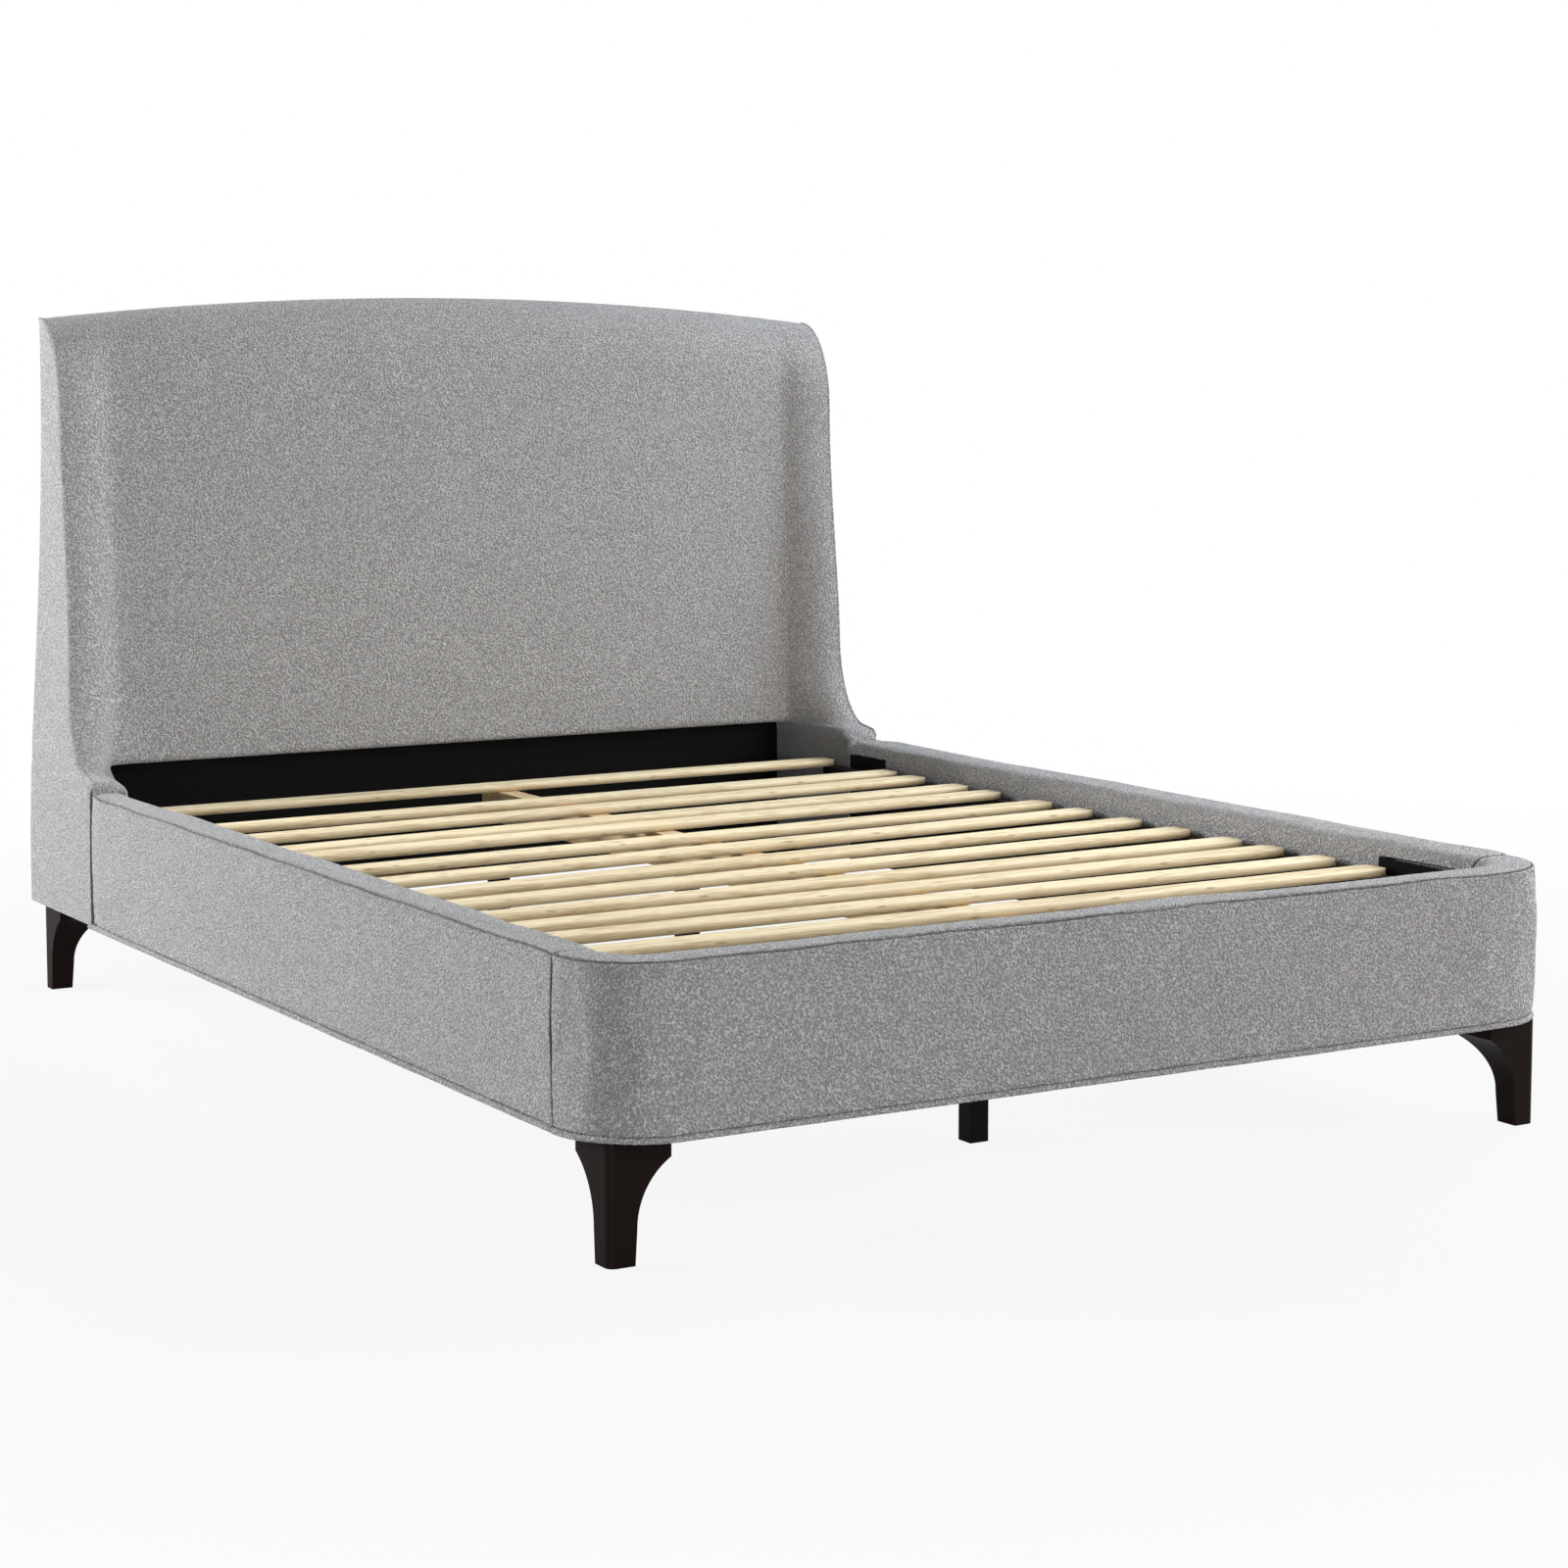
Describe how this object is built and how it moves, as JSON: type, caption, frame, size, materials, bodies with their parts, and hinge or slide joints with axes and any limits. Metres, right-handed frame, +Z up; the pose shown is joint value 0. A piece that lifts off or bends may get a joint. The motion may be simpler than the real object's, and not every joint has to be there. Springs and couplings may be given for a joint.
{
  "type": "upholstered sleigh bed",
  "caption": "Queen-size upholstered bed: arched headboard with sleigh-curved wings, padded rails, round-cornered footboard, pine slats on a centre beam, dark wooden legs.",
  "frame": {"origin": "on the floor under the middle of the bed's bounding box", "axes": "+Z up, +Y from the footboard to the headboard, +X to the right when seen from the foot"},
  "size_m": [1.72, 2.36, 1.3198],
  "materials": {
    "frame_timber": "rough sawn softwood",
    "plywood": "sanded plywood",
    "upholstery": "light grey boucle weave over foam",
    "back_fabric": "light grey boucle weave over board",
    "black_cloth": "black nonwoven cloth",
    "ledger_timber": "softwood painted black",
    "bracket_steel": "black powder coat",
    "black_leg": "black satin",
    "espresso_wood": "espresso stain, semi-gloss",
    "pine": "planed pine",
    "zinc_steel": "bright zinc"
  },
  "bodies": {
    "root": {"headboard_frame": "frame_timber", "left_wing_board": "frame_timber", "right_wing_board": "frame_timber", "left_rail_board": "frame_timber", "right_rail_board": "frame_timber", "footboard_core": "frame_timber", "left_corner_block": "frame_timber", "right_corner_block": "frame_timber", "headboard_panel": "plywood", "headboard_pad": "upholstery", "left_wing_pad": "upholstery", "right_wing_pad": "upholstery", "left_rail_pad": "upholstery", "right_rail_pad": "upholstery", "footboard_pad": "upholstery", "left_wing_welt": "upholstery", "right_wing_welt": "upholstery", "left_rail_welt": "upholstery", "right_rail_welt": "upholstery", "footboard_welt": "upholstery", "headboard_back": "back_fabric", "headboard_lower_cloth": "black_cloth", "left_rail_inner_cloth": "black_cloth", "right_rail_inner_cloth": "black_cloth", "left_ledger": "ledger_timber", "right_ledger": "ledger_timber", "left_head_bracket": "bracket_steel", "left_foot_bracket": "bracket_steel", "right_head_bracket": "bracket_steel", "right_foot_bracket": "bracket_steel", "beam_hanger": "bracket_steel", "center_leg_rear": "black_leg", "center_leg_middle": "black_leg", "center_leg_front": "black_leg", "left_front_leg": "espresso_wood", "right_front_leg": "espresso_wood", "left_rear_leg": "espresso_wood", "right_rear_leg": "espresso_wood", "center_beam": "pine", "slat_01": "pine", "slat_02": "pine", "slat_03": "pine", "slat_04": "pine", "slat_05": "pine", "slat_06": "pine", "slat_07": "pine", "slat_08": "pine", "slat_09": "pine", "slat_10": "pine", "slat_11": "pine", "slat_12": "pine", "slat_13": "pine", "rail_bolts": "zinc_steel", "leg_bolts": "zinc_steel"}
  },
  "joints": []
}
